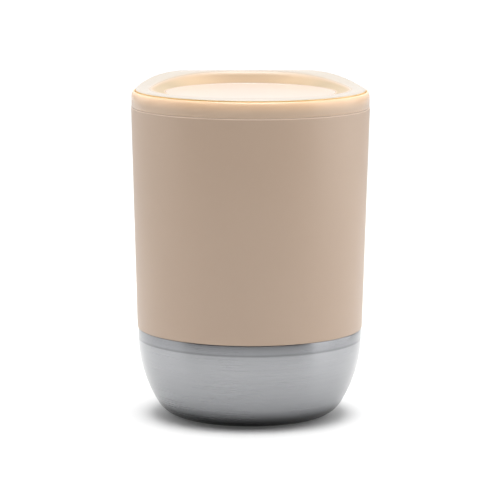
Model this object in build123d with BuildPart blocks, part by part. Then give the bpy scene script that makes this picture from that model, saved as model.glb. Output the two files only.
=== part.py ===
"""Insulated drinking tumbler: steel cup with a moulded sleeve and a push-in lid with a twist top.

Frame: millimetres, +Z up, origin at the centre of the foot.  The raised side of the lid faces +Y.
"""
import os
from math import cos, radians, sin, sqrt

from build123d import *

# ---- driving dimensions -------------------------------------------------------------------
sleeve_top_radius = 42.0    # widest radius, just under the lid
collar_radius = 41.88       # the lid stands a hair inside the sleeve
parting_height = 109.9      # top of the sleeve, where the lid begins
lid_height = 115.5          # top edge of the lid's collar
sleeve_foot = 31.5          # lower edge of the sleeve
sleeve_foot_radius = 39.9
steel = 0.6                 # every steel sheet
sleeve_wall = 1.2
fit_gap = 0.1               # running clearance between pieces
parting_gap = 0.1           # hairline between sleeve and lid
sleeve_edge_round = 0.22    # soft top edge of the sleeve along the hairline

bowl_radius = 39.65         # exposed steel just under the sleeve
bowl_straight = 2.5         # upright part of the bowl's side
flank_radius = 45.1         # the bowl's big side curve
flank_turn = 32.5           # degrees turned by that curve
foot_height = 0.25          # the steel stops this far above the pad's underside
shoulder_neck = 4.5         # length of the bowl's neck inside the sleeve

pad_radius = 21.0
pad_thickness = 1.25
seal_radius = 4.0
seal_thickness = 0.5
getter_radius = 4.0
getter_offset = 12.0
getter_thickness = 1.2

liner_gap = 4.1             # from the sleeve's outside to the liner's vacuum face
rim_height = parting_height + 0.6
rim_radius = sleeve_top_radius - sleeve_wall - fit_gap

deck_top = 112.3
deck_bottom = rim_height + 0.12
pocket_radius = 40.8
plug_bottom = 98.0
plug_radius = 36.2
plug_bore = 34.2
gasket_low = 101.0
gasket_high = 105.5
gasket_seat = 35.2
shoulder_width = 0.9        # the collar's top edge is a quarter of an ellipse
shoulder_height = 2.4

insert_radius = 40.5
insert_bottom = deck_top + fit_gap
floor_height = lid_height - 0.5
floor_radius = 29.8
floor_thickness = 1.5
land_radius = 27.4          # the insert is solid outside this radius
brim_height = lid_height + 0.6
crest_reach = 33.0          # how far back the crest stands
crest_rise = 3.5            # how far it rises over the brim
crest_power = 1.3           # how late the rise begins
crest_fall = 0.23           # slope of the sheet behind the crest
recess_half_width = 35.0
recess_half_depth = 31.5

slot_length = 15.0
slot_width = 3.6
slot_low_reach = 31.0       # centre of the drinking slot at the deck
slot_high_reach = 36.4      # centre of the drinking slot at the mouth
grommet_wall = 1.0
turn_angle = 75.0           # twist from closed to open

hub_radius = 6.0
hub_tube_radius = 8.0
hub_tube_bottom = 106.0
hub_bottom = 104.4
clip_top = hub_tube_bottom - 0.2
clip_thickness = 0.7
clip_seat = 5.0
clip_radius = 8.2
ring_height = 109.0
ring_section = 0.7
ring_seat = 4.65
vent_reach = 24.0
vent_radius = 0.8
stop_reach = 20.0
stop_radius = 1.2
stop_angle = 150.0

taper = (sleeve_top_radius - sleeve_foot_radius) / (parting_height - sleeve_foot)
heel_turn = 90.0 - flank_turn
flank_foot = sleeve_foot - bowl_straight - flank_radius * sin(radians(flank_turn))
heel_radius = (flank_foot - foot_height) / (1.0 - sin(radians(flank_turn)))


def side_radius(height):
    """Outer radius of the tapered sleeve at a height."""
    return sleeve_top_radius - taper * (parting_height - height)


def sheet_height(reach):
    """Height of the insert's top sheet, which rises only towards the back."""
    if reach <= 0.0:
        return brim_height
    if reach <= crest_reach:
        climb = (reach / crest_reach) ** crest_power
        return brim_height + crest_rise * climb * climb * (3 - 2 * climb)
    return brim_height + crest_rise - crest_fall * (reach - crest_reach)


def recess_radius(angle):
    """Plan radius of the oval edge of the insert's recess at an angle in degrees."""
    across = cos(radians(angle)) / recess_half_width
    along = sin(radians(angle)) / recess_half_depth
    return 1.0 / sqrt(across * across + along * along)


def radial_plane(angle):
    """Upright plane through the axis: its x runs outward at the angle, its y runs up."""
    turn = radians(angle)
    return Plane(origin=(0, 0, 0), x_dir=(cos(turn), sin(turn), 0), z_dir=(sin(turn), -cos(turn), 0))


def bowl_curve(start, inset):
    """Line, flank arc and heel arc of the bowl, an inset inside its outer face.  Ends on the flat."""
    side = Line(start, (bowl_radius - inset, sleeve_foot - bowl_straight))
    flank = JernArc(side @ 1, (0, -1), flank_radius - inset, -flank_turn)
    heel = JernArc(flank @ 1, flank % 1, heel_radius - inset, -heel_turn)
    return heel @ 1


# ---- cup body -----------------------------------------------------------------------------
neck_radius = side_radius(sleeve_foot) - sleeve_wall - fit_gap
neck_top = sleeve_foot + shoulder_neck
pad_top = pad_thickness

with BuildPart() as base_bowl:
    with BuildSketch(Plane.XZ):
        with BuildLine():
            outer_end = bowl_curve((bowl_radius, sleeve_foot), 0)
            inner_end = bowl_curve((bowl_radius - steel, sleeve_foot - steel), steel)
            Polyline(
                outer_end,
                (pad_radius, foot_height),
                (pad_radius, pad_top),
                (0, pad_top),
                (0, pad_top + steel),
                (pad_radius, pad_top + steel),
                inner_end,
            )
            Polyline(
                (bowl_radius, sleeve_foot),
                (neck_radius, sleeve_foot),
                (side_radius(neck_top) - sleeve_wall - fit_gap, neck_top),
                (side_radius(neck_top) - sleeve_wall - fit_gap - steel, neck_top),
                (neck_radius - steel, sleeve_foot - steel),
                (bowl_radius - steel, sleeve_foot - steel),
            )
        make_face()
    revolve(axis=Axis.Z)
    with Locations((0, 0, pad_top)):
        Cylinder(1.0, 3 * steel, mode=Mode.SUBTRACT)

with BuildPart() as outer_shell:
    with BuildSketch(Plane.XZ):
        shell_face = sleeve_wall + fit_gap
        with BuildLine():
            Polyline(
                (side_radius(neck_top) - shell_face, neck_top),
                (side_radius(parting_height) - shell_face, parting_height),
                (side_radius(parting_height) - shell_face - steel, parting_height),
                (side_radius(neck_top) - shell_face - steel, neck_top),
                close=True,
            )
        make_face()
    revolve(axis=Axis.Z)

liner_inset = bowl_radius - side_radius(sleeve_foot) + liner_gap

with BuildPart() as inner_liner:
    with BuildSketch(Plane.XZ):
        with BuildLine():
            mouth = side_radius(parting_height) - liner_gap
            waist = side_radius(sleeve_foot) - liner_gap
            Line((mouth, parting_height), (waist, sleeve_foot))
            outside_end = bowl_curve((waist, sleeve_foot), liner_inset)
            Line((mouth - steel, rim_height), (waist - steel, sleeve_foot))
            inside_end = bowl_curve((waist - steel, sleeve_foot), liner_inset + steel)
            Polyline(outside_end, (0, outside_end.Y), (0, inside_end.Y), inside_end)
            Polyline(
                (mouth, parting_height),
                (rim_radius, parting_height),
                (rim_radius, rim_height),
                (mouth - steel, rim_height),
            )
        make_face()
    revolve(axis=Axis.Z)
    rim_edges = inner_liner.edges().filter_by(GeomType.CIRCLE).group_by(Axis.Z)[-1]
    fillet(rim_edges, steel / 2 - 0.02)

with BuildPart() as sleeve:
    with BuildSketch(Plane.XZ):
        with BuildLine():
            Polyline(
                (side_radius(sleeve_foot), sleeve_foot),
                (side_radius(parting_height), parting_height),
                (side_radius(parting_height) - sleeve_wall, parting_height),
                (side_radius(sleeve_foot) - sleeve_wall, sleeve_foot),
                close=True,
            )
        make_face()
    revolve(axis=Axis.Z)
    sleeve_rings = sleeve.edges().filter_by(GeomType.CIRCLE)
    fillet(sleeve_rings.group_by(Axis.Z)[0].sort_by(SortBy.RADIUS)[-1], 0.15)
    sleeve_rings = sleeve.edges().filter_by(GeomType.CIRCLE)
    fillet(sleeve_rings.group_by(Axis.Z)[-1].sort_by(SortBy.RADIUS)[-1], sleeve_edge_round)

with BuildPart() as foot_pad:
    with BuildSketch(Plane.XY):
        Circle(pad_radius - fit_gap)
    extrude(amount=pad_thickness)
    chamfer(foot_pad.edges().group_by(Axis.Z)[0], 0.2)
    with BuildSketch(Plane.XY.offset(pad_thickness - seal_thickness)):
        Circle(seal_radius + fit_gap)
    extrude(amount=seal_thickness, mode=Mode.SUBTRACT)

with BuildPart() as vacuum_seal:
    with BuildSketch(Plane.XY.offset(pad_thickness - seal_thickness)):
        Circle(seal_radius)
    extrude(amount=seal_thickness)

with BuildPart() as getter:
    with BuildSketch(Plane.XY.offset(pad_thickness + steel)):
        with Locations((getter_offset, 0)):
            Circle(getter_radius)
    extrude(amount=getter_thickness)
    fillet(getter.edges().group_by(Axis.Z)[-1], 0.4)

# ---- lid body -----------------------------------------------------------------------------
with BuildPart() as lid_base:
    with BuildSketch(Plane.XZ):
        with BuildLine():
            shoulder = EllipticalCenterArc(
                (collar_radius - shoulder_width, lid_height - shoulder_height),
                shoulder_width,
                shoulder_height,
                start_angle=0,
                arc_size=90,
            )
            Polyline(
                shoulder @ 1,
                (pocket_radius, lid_height),
                (pocket_radius, deck_top),
                (hub_radius + fit_gap, deck_top),
                (hub_radius + fit_gap, hub_tube_bottom),
                (hub_tube_radius, hub_tube_bottom),
                (hub_tube_radius, deck_bottom),
                (plug_bore, deck_bottom),
                (plug_bore, plug_bottom),
                (plug_radius, plug_bottom),
                (plug_radius, gasket_low),
                (gasket_seat, gasket_low),
                (gasket_seat, gasket_high),
                (plug_radius, gasket_high),
                (plug_radius, deck_bottom),
                (rim_radius + 0.3, deck_bottom),
                (rim_radius + 0.3, parting_height + parting_gap),
                (collar_radius, parting_height + parting_gap),
                shoulder @ 0,
            )
        make_face()
    revolve(axis=Axis.Z)
    port_plane = Plane.XY.offset(deck_bottom).rotated((0, 0, turn_angle))
    with BuildSketch(port_plane):
        with Locations((0, slot_low_reach)):
            SlotOverall(slot_length + 2 * grommet_wall, slot_width + 2 * grommet_wall)
    extrude(amount=deck_top - deck_bottom, mode=Mode.SUBTRACT)
    with BuildSketch(port_plane):
        with Locations((0, -vent_reach)):
            Circle(vent_radius)
    extrude(amount=deck_top - deck_bottom, mode=Mode.SUBTRACT)
    with BuildSketch(Plane.XY.offset(deck_top)):
        stop_path = CenterArc((0, 0), stop_reach, stop_angle, turn_angle, mode=Mode.PRIVATE)
        SlotArc(stop_path, 2 * (stop_radius + 4 * fit_gap))
    extrude(amount=-1.1, mode=Mode.SUBTRACT)

with BuildPart() as plug_gasket:
    fin_reach = side_radius(gasket_low) - liner_gap - steel - fit_gap
    fin_step = (gasket_high - gasket_low) / 4
    with BuildSketch(Plane.XZ):
        with BuildLine():
            Polyline(
                (gasket_seat, gasket_low),
                (plug_radius + 0.1, gasket_low),
                (fin_reach, gasket_low + fin_step),
                (fin_reach, gasket_low + fin_step + 0.4),
                (plug_radius + 0.1, gasket_low + 2 * fin_step),
                (fin_reach, gasket_low + 3 * fin_step),
                (fin_reach, gasket_low + 3 * fin_step + 0.4),
                (plug_radius + 0.1, gasket_high),
                (gasket_seat, gasket_high),
                close=True,
            )
        make_face()
    revolve(axis=Axis.Z)

with BuildPart() as port_grommet:
    with BuildSketch(port_plane):
        with Locations((0, slot_low_reach)):
            SlotOverall(slot_length + 2 * grommet_wall, slot_width + 2 * grommet_wall)
            SlotOverall(slot_length, slot_width, mode=Mode.SUBTRACT)
    extrude(amount=deck_top - deck_bottom + fit_gap / 2)
    with BuildSketch(port_plane):
        with Locations((0, slot_low_reach)):
            SlotOverall(slot_length + 2.8 * grommet_wall, slot_width + 2.8 * grommet_wall)
            SlotOverall(slot_length, slot_width, mode=Mode.SUBTRACT)
    extrude(amount=-0.6)

# ---- twist top ----------------------------------------------------------------------------
recess_steps = 10
ceiling = brim_height + crest_rise + 3.0

with BuildPart() as lid_top:
    with BuildSketch(Plane.XY.offset(insert_bottom)):
        Circle(insert_radius)
    extrude(amount=ceiling - insert_bottom)
    with BuildSketch(Plane.YZ):
        with BuildLine():
            reaches = [crest_reach * k / 6 for k in range(7)]
            rise_points = [(reach, sheet_height(reach)) for reach in reaches]
            Line((-crest_reach - 12, brim_height), rise_points[0])
            Spline(*rise_points, tangents=((1, 0), (1, 0)))
            Polyline(
                rise_points[-1],
                (crest_reach + 12, sheet_height(crest_reach + 12)),
                (crest_reach + 12, ceiling + 1),
                (-crest_reach - 12, ceiling + 1),
                (-crest_reach - 12, brim_height),
            )
        make_face()
    extrude(amount=insert_radius + 1, both=True, mode=Mode.SUBTRACT)
    for side in (1, -1):
        for step in range(recess_steps + 1):
            swing = -100.0 + 200.0 * step / recess_steps
            angle = swing if side == 1 else 180.0 - swing
            edge_radius = recess_radius(angle)
            edge_height = sheet_height(edge_radius * sin(radians(angle)))
            run_out = 1.3
            with BuildSketch(radial_plane(angle)):
                with BuildLine():
                    Polyline(
                        (floor_radius - 4, floor_height),
                        (floor_radius, floor_height),
                        (
                            floor_radius + run_out * (edge_radius - floor_radius),
                            floor_height + run_out * (edge_height - floor_height),
                        ),
                        (floor_radius + run_out * (edge_radius - floor_radius), ceiling),
                        (floor_radius - 4, ceiling),
                        close=True,
                    )
                make_face()
        loft(mode=Mode.SUBTRACT)
    with BuildSketch(Plane.XY.offset(floor_height)):
        Circle(floor_radius - 3)
    extrude(amount=ceiling - floor_height, mode=Mode.SUBTRACT)
    with BuildSketch(Plane.XY.offset(insert_bottom)):
        Circle(land_radius)
        with Locations((0, -vent_reach)):
            Circle(vent_radius + 1.2, mode=Mode.SUBTRACT)
    extrude(amount=floor_height - floor_thickness - insert_bottom, mode=Mode.SUBTRACT)
    with BuildSketch(Plane.XY.offset(insert_bottom)):
        with Locations((0, -vent_reach)):
            Circle(vent_radius)
    extrude(amount=floor_height - insert_bottom, mode=Mode.SUBTRACT)
    with BuildSketch(Plane.XY.offset(insert_bottom)):
        with Locations((0, slot_low_reach)):
            SlotOverall(slot_length, slot_width)
    with BuildSketch(Plane.XY.offset(brim_height + crest_rise)):
        with Locations((0, slot_high_reach)):
            SlotOverall(slot_length, slot_width)
    loft(mode=Mode.SUBTRACT)
    with BuildSketch(Plane.XY.offset(hub_bottom)):
        Circle(hub_radius)
    extrude(amount=floor_height - floor_thickness - hub_bottom)
    with BuildSketch(Plane.XY.offset(clip_top)):
        Circle(hub_radius + 1)
        Circle(clip_seat, mode=Mode.SUBTRACT)
    extrude(amount=-clip_thickness, mode=Mode.SUBTRACT)
    with BuildSketch(Plane.XY.offset(ring_height - ring_section)):
        Circle(hub_radius + 1)
        Circle(ring_seat, mode=Mode.SUBTRACT)
    extrude(amount=2 * ring_section, mode=Mode.SUBTRACT)
    with BuildSketch(Plane.XY.offset(floor_height - floor_thickness)):
        with PolarLocations(stop_reach, 1, start_angle=stop_angle):
            Circle(stop_radius)
    extrude(amount=deck_top - 0.8 - (floor_height - floor_thickness))

with BuildPart() as hub_oring:
    with Locations((0, 0, ring_height)):
        Torus(ring_seat + ring_section, ring_section - 0.01)

with BuildPart() as hub_clip:
    with BuildSketch(Plane.XY.offset(clip_top)):
        Circle(clip_radius)
        Circle(clip_seat + 0.02, mode=Mode.SUBTRACT)
        with Locations((0, -clip_radius)):
            Rectangle(2 * clip_seat - 1.6, 2 * clip_radius, mode=Mode.SUBTRACT)
    extrude(amount=-clip_thickness)

# ---- export -------------------------------------------------------------------------------
pieces = {
    "base_bowl": base_bowl,
    "outer_shell": outer_shell,
    "inner_liner": inner_liner,
    "sleeve": sleeve,
    "foot_pad": foot_pad,
    "vacuum_seal": vacuum_seal,
    "getter": getter,
    "lid_base": lid_base,
    "plug_gasket": plug_gasket,
    "port_grommet": port_grommet,
    "lid_top": lid_top,
    "hub_oring": hub_oring,
    "hub_clip": hub_clip,
}

os.makedirs("parts", exist_ok=True)
for name, piece in pieces.items():
    piece.part.label = name
    export_step(piece.part, f"parts/{name}.step")
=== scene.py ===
"""Looks of an insulated drinking tumbler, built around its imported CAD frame."""

from math import atan2, cos, exp, log, pi, radians, sin, sqrt

import bmesh
import bpy
from mathutils import Matrix, Quaternion, Vector


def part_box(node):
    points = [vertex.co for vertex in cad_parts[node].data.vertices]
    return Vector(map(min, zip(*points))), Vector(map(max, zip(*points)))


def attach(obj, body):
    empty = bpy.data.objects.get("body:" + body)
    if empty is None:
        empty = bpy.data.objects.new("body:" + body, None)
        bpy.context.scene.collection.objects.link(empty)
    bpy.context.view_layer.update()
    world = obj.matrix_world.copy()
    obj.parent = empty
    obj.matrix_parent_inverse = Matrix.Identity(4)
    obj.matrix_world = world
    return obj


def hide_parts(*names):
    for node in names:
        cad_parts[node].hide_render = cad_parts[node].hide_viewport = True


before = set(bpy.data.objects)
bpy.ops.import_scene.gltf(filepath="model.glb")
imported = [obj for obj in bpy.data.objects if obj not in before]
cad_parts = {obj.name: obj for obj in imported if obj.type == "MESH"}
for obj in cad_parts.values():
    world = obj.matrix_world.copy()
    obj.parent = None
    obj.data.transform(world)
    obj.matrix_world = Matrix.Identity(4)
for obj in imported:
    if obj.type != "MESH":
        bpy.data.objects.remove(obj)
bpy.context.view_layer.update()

MM = 0.001
STEPS = 192                 # facets round a turned piece
ROUND_STEPS = 4             # facets round a small corner
SHARP = 35                  # degrees between faces past which an edge is kept sharp
TINY = 1e-7                 # metres, under which a point counts as on the axis
MERGE = 1e-6                # metres, under which two points are one


# ---- sizes in millimetres, from the frame where its boxes give them -------------------------
def span(node):
    """Lowest height, highest height and outer radius of a turned CAD node."""
    low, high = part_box(node)
    return low.z / MM, high.z / MM, high.y / MM


sleeve_foot, parting, sleeve_top_radius = span("sleeve")
plug_bottom, collar_top, collar_radius = span("lid_base")
foot_height, neck_top, bowl_radius = span("base_bowl")
_, rim_height, rim_radius = span("inner_liner")
pad_thickness, pad_radius = span("foot_pad")[1:]
hub_bottom, _, insert_radius = span("lid_top")
gasket_low, gasket_high, gasket_radius = span("plug_gasket")
clip_low, clip_top = span("hub_clip")[:2]
ring_low, ring_high = span("hub_oring")[:2]

steel = 0.6                 # thickness of the steel sheet
sleeve_wall = 1.2
fit_gap = 0.1
parting_gap = 0.1
sleeve_edge_round = 0.22
sleeve_foot_radius = 39.9
bowl_straight = 2.5
flank_radius = 45.1
flank_turn = 32.5
band_foot = 27.6            # lower edge of the darker band under the sleeve, a painted reflection
liner_gap = 4.1             # from the sleeve's face in to the liner's outer face
pad_clearance = 0.1
pad_lead_in = 0.5           # widening of the pad's recess at the foot
pad_groove = 0.72           # of the pad's radius
pad_groove_depth = 0.4
seal_recess_radius = 4.1
seal_recess_depth = 0.5
deck_top = 112.3
deck_bottom = rim_height + 0.12
pocket_radius = 40.8
rim_clearance = 0.3
shoulder_width = 0.9
shoulder_height = 2.4
shoulder_steps = 10
plug_radius = 36.2
plug_bore = 34.2
gasket_seat = 35.2
hub_radius = 6.0
hub_tube_radius = 8.0
hub_tube_bottom = 106.0
clip_seat = 5.0
ring_seat = 4.65
fin_tip = 0.4               # thickness of a gasket fin's tip

insert_bottom = deck_top + fit_gap
floor_height = collar_top - 0.5
floor_radius = 29.8
floor_thickness = 1.5
land_radius = 27.4
brim_height = collar_top + 0.6
crest_reach = 33.0
crest_rise = 3.5
crest_power = 1.3
crest_fall = 0.23
crest_softness = 0.06
recess_half_width = 35.0
recess_half_depth = 31.5
dish_foot_round = 0.35      # rounding where the dish's floor meets its wall
dish_edge_round = 1.9       # rounding where the wall meets the brim
rim_round = 0.45
flat_rings = (0, 12, 24)    # radii of the rings of points on the dish's floor

slot_length = 15.0
slot_width = 3.6
slot_low_reach = 31.0
slot_high_reach = 36.4
grommet_wall = 1.0
turn_angle = 75.0
vent_reach = 24.0
vent_radius = 0.8
vent_boss_wall = 1.2
stop_reach = 20.0
stop_radius = 1.2
stop_angle = 150.0
stop_depth = 0.8
stop_groove_half = 1.6
stop_groove_depth = 1.1
overlap = 0.2               # how far a joined body reaches into the one it joins
overcut = 1.0               # how far a cutting body reaches past what it cuts

taper = (sleeve_top_radius - sleeve_foot_radius) / (parting - sleeve_foot)
flank_foot = sleeve_foot - bowl_straight - flank_radius * sin(radians(flank_turn))
heel_radius = (flank_foot - foot_height) / (1 - sin(radians(flank_turn)))


def side_radius(height):
    """Outer radius of the tapered sleeve at a height."""
    return sleeve_top_radius - taper * (parting - height)


# ---- mesh tools ---------------------------------------------------------------------------
def stored(name, bm):
    """Store a bmesh as an object in the scene."""
    mesh = bpy.data.meshes.new(name)
    bm.to_mesh(mesh)
    bm.free()
    made = bpy.data.objects.new(name, mesh)
    bpy.context.scene.collection.objects.link(made)
    return made


def smoothed(mesh):
    """Shade a mesh smooth but for its sharp edges."""
    mesh.shade_smooth()
    mesh.set_sharp_from_angle(angle=radians(SHARP))


def finished(name, bm, body, finish, replaces):
    """Store a bmesh as a smooth piece that rides on a body and stands for some CAD nodes."""
    piece = stored(name, bm)
    smoothed(piece.data)
    piece.data.materials.append(finish)
    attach(piece, body)
    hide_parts(*replaces)
    return piece


def close_up(bm):
    """Merge the poles and seam of a spun shape and face it outwards."""
    bmesh.ops.remove_doubles(bm, verts=bm.verts, dist=MERGE)
    bmesh.ops.recalc_face_normals(bm, faces=bm.faces)


def spin_up(bm):
    """Spin every edge in the mesh a full turn about the axis."""
    edges = list(bm.edges)
    bmesh.ops.spin(
        bm, geom=list(bm.verts) + edges, axis=(0, 0, 1), cent=(0, 0, 0), dvec=(0, 0, 0),
        angle=2 * pi, steps=STEPS, use_merge=True,
    )


def turned(outline):
    """Turn a closed outline of (radius, height, corner radius) points about the axis."""
    bm = bmesh.new()
    corners = [bm.verts.new((radius * MM, 0, height * MM)) for radius, height, _ in outline]
    bm.faces.new(corners)
    for corner, (_, _, rounding) in zip(corners, outline):
        if rounding:
            bmesh.ops.bevel(
                bm, geom=[corner], offset=rounding * MM, segments=ROUND_STEPS, profile=0.5,
                affect="VERTICES", material=-1, clamp_overlap=False,
            )
    bmesh.ops.delete(bm, geom=list(bm.faces), context="FACES_ONLY")
    on_axis = [edge for edge in bm.edges if max(v.co.x for v in edge.verts) < TINY]
    bmesh.ops.delete(bm, geom=on_axis, context="EDGES")
    spin_up(bm)
    close_up(bm)
    return bm


def arc(centre, radius, start, end, count):
    """Points of an arc about a (radius, height) centre, from one angle to another in degrees."""
    turns = [radians(start + (end - start) * k / count) for k in range(count + 1)]
    return [(centre[0] + radius * cos(t), centre[1] + radius * sin(t), 0) for t in turns]


def bowl_line(inset):
    """The bowl's flank and heel, an inset inside its outer face, from the side to the foot."""
    flank_centre = (bowl_radius - flank_radius, sleeve_foot - bowl_straight)
    heel_reach = (flank_radius - heel_radius) * cos(radians(flank_turn))
    heel_centre = (flank_centre[0] + heel_reach, foot_height + heel_radius)
    flank = arc(flank_centre, flank_radius - inset, 0, -flank_turn, 24)
    return flank + arc(heel_centre, heel_radius - inset, -flank_turn, -90, 20)[1:]


def cut(piece, cutter, operation="DIFFERENCE"):
    """Cut a tool body out of a piece, or join it on, and throw the tool body away."""
    tool = stored("tool", cutter)
    modifier = piece.modifiers.new("cut", "BOOLEAN")
    modifier.operation = operation
    modifier.solver = "EXACT"
    modifier.object = tool
    graph = bpy.context.evaluated_depsgraph_get()
    result = bpy.data.meshes.new_from_object(piece.evaluated_get(graph))
    piece.modifiers.clear()
    old = piece.data
    piece.data = result
    bpy.data.objects.remove(tool)
    bpy.data.meshes.remove(old)
    smoothed(result)


def rotated(bm, degrees, axis):
    """Turn a whole bmesh about an axis through the origin."""
    turn = Matrix.Rotation(radians(degrees), 3, axis)
    bmesh.ops.rotate(bm, verts=bm.verts, cent=(0, 0, 0), matrix=turn)


def slot_body(levels, turn=0):
    """A closed slot shaped tool, turned about the axis by some degrees.

    Its levels are (reach, height, length, width). A height may be a function of the reach.
    """
    bm = bmesh.new()
    rings = []
    for reach, height, length, width in levels:
        ring = bmesh.ops.create_circle(bm, segments=48, radius=width / 2 * MM)["verts"]
        stretch = (length - width) / 2 * MM
        for v in ring:
            v.co.x += stretch if v.co.x > 0 else -stretch
            v.co.y += reach * MM
            v.co.z = height * MM if not callable(height) else height(v.co.y / MM) * MM
        rings.append([e for e in bm.edges if e.verts[0] in ring and e.verts[1] in ring])
    for lower, upper in zip(rings, rings[1:]):
        bmesh.ops.bridge_loops(bm, edges=lower + upper)
    bmesh.ops.holes_fill(bm, edges=rings[0] + rings[-1])
    rotated(bm, turn, "Z")
    bmesh.ops.recalc_face_normals(bm, faces=bm.faces)
    return bm


def round_body(reach, low, high, radius, turn):
    """A closed upright round tool at a reach along a direction in degrees."""
    bm = bmesh.new()
    bmesh.ops.create_cone(
        bm, cap_ends=True, segments=32, radius1=radius * MM, radius2=radius * MM,
        depth=(high - low) * MM,
    )
    x, y = reach * cos(radians(turn)), reach * sin(radians(turn))
    bmesh.ops.translate(bm, verts=bm.verts, vec=(x * MM, y * MM, (low + high) / 2 * MM))
    return bm


def groove_body(reach, half_width, low, high):
    """A closed tool that runs along the path of the stop pin."""
    bm = bmesh.new()
    bmesh.ops.create_grid(bm, x_segments=1, y_segments=1, size=0.5)
    bmesh.ops.scale(bm, verts=bm.verts, vec=(2 * half_width * MM, (high - low) * MM, 1))
    rotated(bm, 90, "X")
    bmesh.ops.translate(bm, verts=bm.verts, vec=(reach * MM, 0, (low + high) / 2 * MM))
    rotated(bm, stop_angle, "Z")
    bmesh.ops.spin(
        bm, geom=list(bm.verts) + list(bm.edges) + list(bm.faces), axis=(0, 0, 1),
        cent=(0, 0, 0), dvec=(0, 0, 0), angle=radians(turn_angle), steps=30,
    )
    bmesh.ops.recalc_face_normals(bm, faces=bm.faces)
    return bm


# ---- finishes -----------------------------------------------------------------------------
SLEEVE_SHADE = (0.455, 0.337, 0.252)
SLEEVE_LIGHT = (0.478, 0.357, 0.269)
SLEEVE_ROUGHNESS = 0.42
# painted highlight on the sleeve's top edge
EDGE_HIGHLIGHT_TONE = (0.68, 0.53, 0.42)
LID_SHADE = (0.530, 0.388, 0.280)
LID_LIGHT = (0.550, 0.406, 0.295)
LID_ROUGHNESS = 0.24
# painted sheen: the dish floor paler and greyer, as bright light on a face turned up
DISH_FLOOR_SHEEN = (0.55, 0.46, 0.40)
# painted sheen on the twist top's brim
BRIM_SHEEN = (0.47, 0.42, 0.36)
# painted shade on the recess wall, at the back and, darker, at its sides
WALL_PAINTED_SHADE = (0.64, 0.470, 0.300)
SIDE_WALL_PAINTED_SHADE = (0.42, 0.330, 0.220)
WALL_MATTING = 0.35         # added roughness on the recess wall
# painted highlight on the collar's rounded shoulder
SHOULDER_HIGHLIGHT_TONE = (0.84, 0.575, 0.37)
# painted glow in the gap between the twist top and the collar
SEAM_GLOW_TONE = (0.86, 0.60, 0.27)
REAR_SEAM_FADE = 0.6        # share of the seam's painted glow lost at the back
STEEL_SHADE = (0.305, 0.310, 0.320)
STEEL_LIGHT = (0.350, 0.356, 0.367)
# painted reflection of the dark room on the band under the sleeve
BAND_REFLECTION_TONE = (0.27, 0.275, 0.285)
LINE_TONE = (0.16, 0.163, 0.17)
# painted shade on the steel heel
HEEL_PAINTED_SHADE = (0.05, 0.05, 0.052)

PLASTIC_GRAIN = 0.00002     # metres, the depth of each surface's relief
BRUSH_DEPTH = 0.0000025
SILICONE_GRAIN = 0.000012

heel_dark, heel_bright = 1.0, 8.0       # heights between which the heel's painted shade, the shadowed floor it reflects, fades


class Signal:
    """A node output that Python arithmetic carries on with Math nodes."""

    def __init__(self, finish, socket):
        self.finish = finish
        self.socket = socket

    def math(self, operation, *values):
        return self.finish.node("ShaderNodeMath", {"operation": operation}, dict(enumerate(values)))

    def __add__(self, other):
        return self.math("ADD", self, other)

    def __sub__(self, other):
        return self.math("SUBTRACT", self, other)

    def __rsub__(self, other):
        return self.math("SUBTRACT", other, self)

    def __mul__(self, other):
        return self.math("MULTIPLY", self, other)

    def __pow__(self, other):
        return self.math("POWER", self, other)

    __radd__ = __add__
    __rmul__ = __mul__


class Finish:
    """A procedural material being put together."""

    def __init__(self, name, **constants):
        self.material = bpy.data.materials.new(name)
        self.material.use_nodes = True
        self.tree = self.material.node_tree
        self.shader = self.tree.nodes["Principled BSDF"]
        for socket, value in constants.items():
            self.shader.inputs[socket.replace("_", " ")].default_value = value

    def node(self, kind, settings=None, sockets=None, output=0):
        """Add a node: its settings first, then the values or links of its sockets."""
        made = self.tree.nodes.new(kind)
        for key, value in (settings or {}).items():
            setattr(made, key, value)
        for key, value in (sockets or {}).items():
            self.feed(made.inputs[key], value)
        return Signal(self, made.outputs[output])

    def feed(self, socket, value):
        if isinstance(value, Signal):
            self.tree.links.new(value.socket, socket)
        else:
            socket.default_value = value

    def paint(self, socket, value):
        self.feed(self.shader.inputs[socket], value)

    def place(self):
        """The point on the object, with its x, y and z."""
        point = self.node("ShaderNodeTexCoord", output="Object")
        split = self.node("ShaderNodeSeparateXYZ", sockets={0: point}).socket.node
        return point, *(Signal(self, part) for part in split.outputs)

    def vector(self, x, y, z):
        return self.node("ShaderNodeCombineXYZ", sockets={0: x, 1: y, 2: z})

    def noise(self, point, scale, detail=2.0, roughness=0.5):
        sockets = {"Vector": point, "Scale": scale, "Detail": detail, "Roughness": roughness}
        return self.node("ShaderNodeTexNoise", sockets=sockets)

    def mix(self, mask, first, second):
        """A colour that goes from the first to the second as the mask rises.

        Each of them is a node's output, or red, green and blue.
        """
        first, second = (c if isinstance(c, Signal) else (*c, 1) for c in (first, second))
        colours = {0: mask, 6: first, 7: second}
        return self.node("ShaderNodeMix", {"data_type": "RGBA"}, colours, output=2)

    def ramp(self, value, low, high):
        """A soft step from 0 at the low value to 1 at the high one."""
        sockets = {0: value, 1: low, 2: high}
        return self.node("ShaderNodeMapRange", {"interpolation_type": "SMOOTHSTEP"}, sockets)

    def rise(self, distance, low, high):
        """A soft step from 0 to 1 between two distances in millimetres."""
        return self.ramp(distance, low * MM, high * MM)

    def bump(self, height, distance):
        sockets = {"Strength": 1.0, "Distance": distance, "Height": height}
        self.paint("Normal", self.node("ShaderNodeBump", sockets=sockets))


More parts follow.
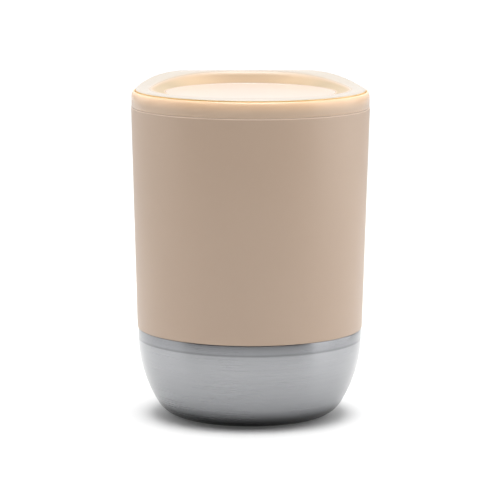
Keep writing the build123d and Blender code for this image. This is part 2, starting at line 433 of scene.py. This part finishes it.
def moulded_plastic(name, shade, light, roughness):
    """Satin moulded plastic with a fine spark-eroded grain and a faintly cloudy colour.

    Gives the finish with its colour, its roughness and the x, y and z of the point, so that
    the caller can add to them before it paints them.
    """
    finish = Finish(name, IOR=1.48)
    point, x, y, z = finish.place()
    cloud = finish.noise(point, 28, 3)
    grain = finish.noise(point, 2600, 3, 0.6)
    colour = finish.mix(cloud, shade, light)
    rough = cloud * 0.06 + grain * 0.05 + (roughness - 0.055)
    finish.bump(grain, PLASTIC_GRAIN)
    return finish, colour, rough, (x, y, z)


def make_sleeve_plastic():
    """Matt plastic with a painted highlight: a paler edge where the sleeve meets the lid, as light
    caught along its top edge.
    """
    finish, colour, rough, (_, _, z) = moulded_plastic(
        "sleeve_plastic", SLEEVE_SHADE, SLEEVE_LIGHT, SLEEVE_ROUGHNESS,
    )
    # painted highlight: the sleeve's top edge made paler, as light caught along the parting
    edge = finish.rise(z, parting - 0.40, parting - 0.25)
    finish.paint("Base Color", finish.mix(edge, colour, EDGE_HIGHLIGHT_TONE))
    finish.paint("Roughness", rough)
    return finish.material


def make_lid_plastic():
    """Glossier plastic with painted light: painted shade as a deeper matt tan on the recess wall,
    painted sheen on the dish floor and brim, a painted highlight on the collar's shoulder
    and a painted warm glow in the seam.
    """
    finish, colour, rough, (x, y, z) = moulded_plastic(
        "lid_plastic", LID_SHADE, LID_LIGHT, LID_ROUGHNESS,
    )
    out = (x * x + y * y) ** 0.5
    across = x * x * (1 / (recess_half_width * MM) ** 2)
    along = y * y * (1 / (recess_half_depth * MM) ** 2)
    oval = (across + along) ** 0.5

    outside_floor = finish.rise(out, floor_radius - 0.1, floor_radius + 0.3)
    inside_edge = 1 - finish.ramp(oval, 0.95, 1.02)
    above_floor = finish.rise(z, floor_height + 0.05, floor_height + 0.2)
    wall = outside_floor * inside_edge * above_floor
    # painted sheen on the dish's floor, which faces up into the light
    dish = (1 - outside_floor) * finish.rise(z, floor_height - 0.3, floor_height - 0.1)

    # painted glow: a warm bright line in the gap between the twist top and the collar, as light
    # bounced between them, less at the back
    past_insert = finish.rise(out, insert_radius - 0.12, insert_radius - 0.02)
    before_collar = 1 - finish.rise(out, pocket_radius + 0.02, pocket_radius + 0.12)
    over_deck = finish.rise(z, deck_top, deck_top + 0.2)
    under_brim = 1 - finish.rise(z, brim_height - 0.05, brim_height + 0.35)
    towards_back = 1 - REAR_SEAM_FADE * finish.rise(y, 0, 20)
    seam = past_insert * before_collar * over_deck * under_brim * towards_back

    over_collar = finish.rise(z, collar_top + 0.05, collar_top + 0.3)
    # painted sheen: the brim round the recess paler, as light on a face turned up
    brim = finish.ramp(oval, 0.97, 1.05) * over_collar
    # painted highlight: the collar's shoulder paler and warmer, as light on and through its rounded
    # top
    up_collar = finish.rise(z, collar_top - 4.4, collar_top)
    shoulder = up_collar * finish.rise(out, pocket_radius + 0.1, pocket_radius + 0.2)

    # painted shade: the recess wall a deeper, more saturated tan, darkest at its sides
    wall_shade = finish.mix(finish.rise(y, 14, 28), SIDE_WALL_PAINTED_SHADE, WALL_PAINTED_SHADE)
    colour = finish.mix(dish, colour, DISH_FLOOR_SHEEN)
    colour = finish.mix(brim, colour, BRIM_SHEEN)
    colour = finish.mix(wall, colour, wall_shade)
    colour = finish.mix(shoulder, colour, SHOULDER_HIGHLIGHT_TONE)
    finish.paint("Base Color", finish.mix(seam, colour, SEAM_GLOW_TONE))
    finish.paint("Roughness", rough + wall * WALL_MATTING)
    return finish.material


def brushed_steel(name, shade, light, roughness, anisotropy=0.75, outside=False):
    """Steel brushed round the axis: fine lines that run level and follow the meridian down.

    The outside of the cup also has a band at its top painted darker as a reflection of the dark
    room in front, with a dark line along the band's foot, and painted shade on its heel, where it
    reflects the shadowed floor.
    """
    finish = Finish(name, Metallic=1.0, Anisotropic=anisotropy, Anisotropic_Rotation=0.25)
    point, x, y, z = finish.place()
    out = (x * x + y * y) ** 0.5
    along = z - out
    fine = finish.noise(finish.vector(x * 22, y * 22, along * 7500), 1, 3, 0.6)
    broad = finish.noise(finish.vector(x * 9, y * 9, along * 1400), 1, 3, 0.6)
    smear = finish.noise(point, 45, 3)
    colour = finish.mix(broad * 0.6 + fine * 0.4, shade, light)
    if outside:
        # painted reflection: a darker band at the top of the steel, standing for the dark room it
        # mirrors
        band = finish.rise(z, band_foot - 0.25, band_foot + 0.15)
        line = band * (1 - finish.rise(z, band_foot + 0.2, band_foot + 1.0))
        # painted shade: the heel darkened towards the foot, as the shadowed floor it reflects
        heel = 1 - finish.rise(z, heel_dark, heel_bright)
        colour = finish.mix(band, colour, BAND_REFLECTION_TONE)
        colour = finish.mix(line * 0.5, colour, LINE_TONE)
        colour = finish.mix(heel, colour, HEEL_PAINTED_SHADE)
    finish.paint("Base Color", colour)
    finish.paint("Roughness", fine * 0.06 + smear * 0.04 + (roughness - 0.05))
    finish.bump(fine * 0.7 + broad * 0.3, BRUSH_DEPTH)
    return finish.material


def silicone(name, shade, light, roughness):
    """Soft moulded rubber with a dusty bloom."""
    finish = Finish(name, IOR=1.43)
    point, *_ = finish.place()
    bloom = finish.noise(point, 180, 4, 0.6)
    finish.paint("Base Color", finish.mix(bloom, shade, light))
    finish.paint("Roughness", bloom * 0.1 + (roughness - 0.05))
    finish.bump(finish.noise(point, 3200, 2), SILICONE_GRAIN)
    return finish.material


sleeve_plastic = make_sleeve_plastic()
lid_plastic = make_lid_plastic()
cup_steel = brushed_steel("cup_steel", STEEL_SHADE, STEEL_LIGHT, 0.28, 0.88, outside=True)
liner_steel = brushed_steel("liner_steel", (0.50, 0.50, 0.50), (0.58, 0.58, 0.58), 0.26)
dull_metal = brushed_steel("dull_metal", (0.34, 0.34, 0.35), (0.46, 0.46, 0.47), 0.48, 0.3)
pale_silicone = silicone("pale_silicone", (0.62, 0.58, 0.53), (0.70, 0.66, 0.61), 0.48)
pad_rubber = silicone("pad_rubber", (0.020, 0.020, 0.020), (0.032, 0.031, 0.030), 0.62)


# ---- cup ----------------------------------------------------------------------------------
def make_sleeve():
    outline = [
        (sleeve_foot_radius, sleeve_foot, 0.3),
        (sleeve_top_radius, parting, sleeve_edge_round),
        (sleeve_top_radius - sleeve_wall, parting, 0.1),
        (sleeve_foot_radius - sleeve_wall, sleeve_foot, 0.1),
    ]
    finished("sleeve_shell", turned(outline), "cup", sleeve_plastic, ["sleeve"])


def make_bowl():
    neck = side_radius(sleeve_foot) - sleeve_wall - fit_gap
    neck_end = side_radius(neck_top) - sleeve_wall - fit_gap
    inner_foot = pad_thickness + steel
    recess = pad_radius + pad_clearance
    outline = [
        (bowl_radius, sleeve_foot, 0.35),
        *bowl_line(0),
        (pad_radius + pad_lead_in, foot_height, 0.3),
        (recess, pad_thickness, 0.3),
        (0, pad_thickness, 0),
        (0, inner_foot, 0),
        (recess, inner_foot, 0.3),
        *reversed(bowl_line(steel)),
        (bowl_radius - steel, sleeve_foot - steel, 0),
        (neck - steel, sleeve_foot - steel, 0),
        (neck_end - steel, neck_top, 0),
        (neck_end, neck_top, 0),
        (neck, sleeve_foot, 0),
    ]
    finished("steel_bowl", turned(outline), "cup", cup_steel, ["base_bowl"])


def make_liner():
    mouth = side_radius(parting) - liner_gap
    inset = bowl_radius - side_radius(sleeve_foot) + liner_gap
    outside = bowl_line(inset)
    inside = bowl_line(inset + steel)
    outline = [
        (rim_radius, parting, 0),
        (rim_radius, rim_height, 0.28),
        (mouth - steel, rim_height, 0.28),
        *inside,
        (0, inside[-1][1], 0),
        (0, outside[-1][1], 0),
        *reversed(outside),
        (mouth, parting, 0),
    ]
    finished("steel_liner", turned(outline), "cup", liner_steel, ["inner_liner"])


def make_pad():
    groove = pad_radius * pad_groove
    outline = [
        (0, 0, 0),
        (groove - 1, 0, 0.1),
        (groove - 0.6, pad_groove_depth, 0.1),
        (groove + 0.6, pad_groove_depth, 0.1),
        (groove + 1, 0, 0.1),
        (pad_radius, 0, 0.3),
        (pad_radius, pad_thickness, 0.1),
        (seal_recess_radius, pad_thickness, 0),
        (seal_recess_radius, pad_thickness - seal_recess_depth, 0),
        (0, pad_thickness - seal_recess_depth, 0),
    ]
    finished("pad_of_foot", turned(outline), "cup", pad_rubber, ["foot_pad"])


# ---- lid ----------------------------------------------------------------------------------
def make_lid_base():
    collar_low = parting + parting_gap
    bore = hub_radius + fit_gap
    quarter = [radians(90 * k / shoulder_steps) for k in range(shoulder_steps + 1)]
    shoulder_centre = collar_radius - shoulder_width
    shoulder = [
        (shoulder_centre + shoulder_width * cos(t), collar_top - shoulder_height * (1 - sin(t)), 0)
        for t in quarter
    ]
    outline = [
        (collar_radius, collar_low, 0.05),
        *shoulder,
        (pocket_radius, collar_top, 0.06),
        (pocket_radius, deck_top, 0.2),
        (bore, deck_top, 0.3),
        (bore, hub_tube_bottom, 0.2),
        (hub_tube_radius, hub_tube_bottom, 0.3),
        (hub_tube_radius, deck_bottom, 0.6),
        (plug_bore, deck_bottom, 0.8),
        (plug_bore, plug_bottom, 0.3),
        (plug_radius, plug_bottom, 0.5),
        (plug_radius, gasket_low, 0.1),
        (gasket_seat, gasket_low, 0),
        (gasket_seat, gasket_high, 0),
        (plug_radius, gasket_high, 0.1),
        (plug_radius, deck_bottom, 0.4),
        (rim_radius + rim_clearance, deck_bottom, 0.1),
        (rim_radius + rim_clearance, collar_low, 0.1),
    ]
    piece = finished("lid_collar", turned(outline), "lid", lid_plastic, ["lid_base"])
    port_length = slot_length + 2 * grommet_wall
    port_width = slot_width + 2 * grommet_wall
    low, high = deck_bottom - overcut, deck_top + overcut
    levels = [(slot_low_reach, height, port_length, port_width) for height in (low, high)]
    cut(piece, slot_body(levels, turn_angle))
    cut(piece, round_body(vent_reach, low, high, vent_radius, turn_angle - 90))
    groove_low = deck_top - stop_groove_depth
    cut(piece, groove_body(stop_reach, stop_groove_half, groove_low, high))
    for turn in (stop_angle, stop_angle + turn_angle):
        cut(piece, round_body(stop_reach, groove_low, high, stop_groove_half, turn))


def make_gasket():
    fin = (gasket_high - gasket_low) / 4
    root = plug_radius + 0.1
    outline = [
        (gasket_seat, gasket_low, 0),
        (root, gasket_low, 0.1),
        (gasket_radius, gasket_low + fin, 0.15),
        (gasket_radius, gasket_low + fin + fin_tip, 0.15),
        (root, gasket_low + 2 * fin, 0.1),
        (gasket_radius, gasket_low + 3 * fin, 0.15),
        (gasket_radius, gasket_low + 3 * fin + fin_tip, 0.15),
        (root, gasket_high, 0.1),
        (gasket_seat, gasket_high, 0),
    ]
    finished("gasket_ring", turned(outline), "lid", pale_silicone, ["plug_gasket"])


# ---- twist top ----------------------------------------------------------------------------
def sheet_height(reach):
    """Height of the top sheet, which rises to a soft crest and falls away behind it."""
    climb = min(max(reach, 0.0) / crest_reach, 1.0) ** crest_power
    rising = brim_height + crest_rise * climb * climb * (3 - 2 * climb)
    falling = brim_height + crest_rise - crest_fall * (reach - crest_reach)
    lower = min(rising, falling)
    return lower - crest_softness * log(1 + exp(-abs(rising - falling) / crest_softness))


def curve(start, corner, end, count):
    """Points of a rounded corner between two (radius, height) points."""
    points = []
    for k in range(count + 1):
        t = k / count
        weights = ((1 - t) ** 2, 2 * t * (1 - t), t * t)
        pulls = list(zip(weights, (start, corner, end)))
        points.append(tuple(sum(weight * point[i] for weight, point in pulls) for i in (0, 1)))
    return points


def top_section(turn):
    """The twist top's section in a direction, from the middle of its top round to its underside."""
    across = cos(turn) / recess_half_width
    along = sin(turn) / recess_half_depth
    edge = 1 / sqrt(across * across + along * along)
    edge_height = sheet_height(edge * sin(turn))
    run, rise = edge - floor_radius, edge_height - floor_height
    length = sqrt(run * run + rise * rise)
    run, rise = run / length, rise / length
    foot_round = min(dish_foot_round, 0.3 * length)
    edge_round = min(dish_edge_round, 0.42 * length)
    rim = insert_radius - rim_round
    past_edge = edge + edge_round
    points = [(radius, floor_height) for radius in flat_rings]
    points += curve(
        (floor_radius - foot_round, floor_height),
        (floor_radius, floor_height),
        (floor_radius + foot_round * run, floor_height + foot_round * rise),
        5,
    )
    points += curve(
        (edge - edge_round * run, edge_height - edge_round * rise),
        (edge, edge_height),
        (past_edge, sheet_height(past_edge * sin(turn))),
        7,
    )
    for k in range(1, 7):
        radius = past_edge + (rim - past_edge) * k / 7
        points.append((radius, sheet_height(radius * sin(turn))))
    rim_height_here = sheet_height(insert_radius * sin(turn))
    points += curve(
        (rim, sheet_height(rim * sin(turn))),
        (insert_radius, rim_height_here),
        (insert_radius, rim_height_here - rim_round),
        4,
    )
    hollow = floor_height - floor_thickness
    return points + [
        (insert_radius, insert_bottom + 0.3),
        (insert_radius - 0.3, insert_bottom),
        (land_radius, insert_bottom),
        (land_radius, hollow),
        (hub_radius, hollow),
        (hub_radius, ring_high),
        (ring_seat, ring_high),
        (ring_seat, ring_low),
        (hub_radius, ring_low),
        (hub_radius, clip_top),
        (clip_seat, clip_top),
        (clip_seat, clip_low),
        (hub_radius, clip_low),
        (hub_radius, hub_bottom + 0.4),
        (hub_radius - 0.4, hub_bottom),
        (0, hub_bottom),
    ]


def make_twist_top():
    bm = bmesh.new()
    ring = bm.verts.layers.int.new("ring")
    line = []
    for k, (radius, height) in enumerate(top_section(0.0)):
        vert = bm.verts.new((radius * MM, 0, height * MM))
        vert[ring] = k
        line.append(vert)
    for first, second in zip(line, line[1:]):
        bm.edges.new((first, second))
    spin_up(bm)
    sections = {}
    for vert in bm.verts:
        turn = round(atan2(vert.co.y, vert.co.x), 6) if vert.co.xy.length > TINY else 0.0
        if turn not in sections:
            sections[turn] = top_section(turn)
        radius, height = sections[turn][vert[ring]]
        vert.co = Vector((radius * cos(turn), radius * sin(turn), height)) * MM
    close_up(bm)
    piece = finished("dished_top", bm, "top", lid_plastic, ["lid_top"])
    hollow = floor_height - floor_thickness
    boss_radius = vent_radius + vent_boss_wall
    cut(piece, round_body(vent_reach, insert_bottom, hollow + overlap, boss_radius, -90), "UNION")
    stop = round_body(stop_reach, deck_top - stop_depth, hollow + overlap, stop_radius, stop_angle)
    cut(piece, stop, "UNION")
    low, high = insert_bottom - overcut, floor_height + overcut
    cut(piece, round_body(vent_reach, low, high, vent_radius, -90))
    slope = (slot_high_reach - slot_low_reach) / (brim_height + crest_rise - insert_bottom)

    def lip(drop, flare):
        """One level of the slot's flared lip, a drop under the sheet."""
        reach = slot_low_reach + slope * (sheet_height(slot_high_reach) - drop - insert_bottom)
        length, width = slot_length + 2 * flare, slot_width + 2 * flare
        return (reach, lambda y: sheet_height(y) - drop, length, width)

    levels = [(slot_low_reach - slope * overcut, low, slot_length, slot_width)]
    levels += [lip(0.6, 0), lip(0.28, 0.08), lip(0.08, 0.28), lip(0, 0.6), lip(-1.0, 0.7)]
    cut(piece, slot_body(levels))


def dress_nodes():
    """Give the CAD nodes that stay as they are their finishes."""
    finishes = {
        "outer_shell": liner_steel,
        "vacuum_seal": dull_metal,
        "getter": dull_metal,
        "port_grommet": pale_silicone,
        "hub_oring": pale_silicone,
        "hub_clip": dull_metal,
    }
    for name, finish in finishes.items():
        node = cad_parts[name]
        node.data.materials.clear()
        node.data.materials.append(finish)


# ---- studio -------------------------------------------------------------------------------
camera_distance = 1.0499    # metres, as are its height and the height it aims at
camera_height = 0.2217
aim_height = 0.0587
camera_swing = 3.6          # degrees round from straight in front
camera_roll = 0.2           # degrees
camera_lens = 215.75        # millimetres, as is the width of its sensor
camera_sensor = 36.0


def place_camera():
    data = bpy.data.cameras.new("camera")
    data.lens = camera_lens
    data.sensor_width = camera_sensor
    camera = bpy.data.objects.new("camera", data)
    swing = radians(camera_swing)
    camera.location = (-camera_distance * sin(swing), -camera_distance * cos(swing), camera_height)
    look = Vector((0, 0, aim_height)) - camera.location
    roll = Quaternion((0, 0, 1), radians(camera_roll))
    camera.rotation_mode = "QUATERNION"
    camera.rotation_quaternion = look.to_track_quat("-Z", "Y") @ roll
    bpy.context.scene.collection.objects.link(camera)
    bpy.context.scene.camera = camera


def softbox(name, place, aim, size, power, mirrored=True, lights=True):
    """A soft rectangular light, which glossy and matt surfaces may each be kept from seeing."""
    data = bpy.data.lights.new(name, "AREA")
    data.shape = "RECTANGLE"
    data.size, data.size_y = size
    data.energy = power
    lamp = bpy.data.objects.new(name, data)
    lamp.location = place
    lamp.visible_glossy = mirrored
    lamp.visible_diffuse = lights
    lamp.rotation_mode = "QUATERNION"
    lamp.rotation_quaternion = (Vector(aim) - Vector(place)).to_track_quat("-Z", "Y")
    bpy.context.scene.collection.objects.link(lamp)


def make_room(glow):
    """A room that is dark in front and glows more and more towards the back."""
    world = bpy.data.worlds.new("room")
    world.use_nodes = True
    nodes, links = world.node_tree.nodes, world.node_tree.links
    direction = nodes.new("ShaderNodeTexCoord")
    parts = nodes.new("ShaderNodeSeparateXYZ")
    ramp = nodes.new("ShaderNodeMapRange")
    ramp.inputs["From Min"].default_value = 0.0
    ramp.inputs["To Max"].default_value = glow
    links.new(direction.outputs["Generated"], parts.inputs[0])
    links.new(parts.outputs["Y"], ramp.inputs["Value"])
    links.new(ramp.outputs[0], nodes["Background"].inputs["Strength"])
    nodes["Background"].inputs["Color"].default_value = (1, 1, 1, 1)
    bpy.context.scene.world = world


def make_floor(glow):
    """A wide sheet of white paper that glows a little."""
    bm = bmesh.new()
    bmesh.ops.create_grid(bm, x_segments=1, y_segments=1, size=8.0)
    floor = stored("floor", bm)
    paper = Finish("white_paper", Roughness=0.9, Emission_Strength=glow)
    paper.paint("Base Color", (0.85, 0.85, 0.85, 1))
    paper.paint("Emission Color", (1, 1, 1, 1))
    floor.data.materials.append(paper.material)


def make_studio():
    bpy.context.scene.view_settings.view_transform = "Standard"
    make_room(0.93)
    make_floor(0.06)
    middle = (0, 0, 0.07)
    softbox("overhead", (0.0, 0.0, 0.9), (0, 0, 0), (0.6, 0.6), 8.8)
    softbox("overhead_front", (0.0, -0.35, 0.9), (0, 0, 0.05), (0.6, 0.6), 3.3)
    softbox("backdrop", (0.0, 2.0, 1.0), (0, 2.0, 0), (2.4, 1.6), 28, mirrored=False)
    softbox("left", (-0.8, 0.0, 0.30), middle, (0.5, 0.9), 1.5)
    softbox("right", (0.8, 0.0, 0.30), middle, (0.92, 0.9), 4.2)
    softbox("right_card", (0.77, -0.22, 0.30), middle, (0.33, 0.9), 0.6, lights=False)
    softbox("back_left", (-0.8, 0.6, 0.35), middle, (0.6, 0.6), 1.1)


make_sleeve()
make_bowl()
make_liner()
make_pad()
make_lid_base()
make_gasket()
make_twist_top()
dress_nodes()
place_camera()
make_studio()
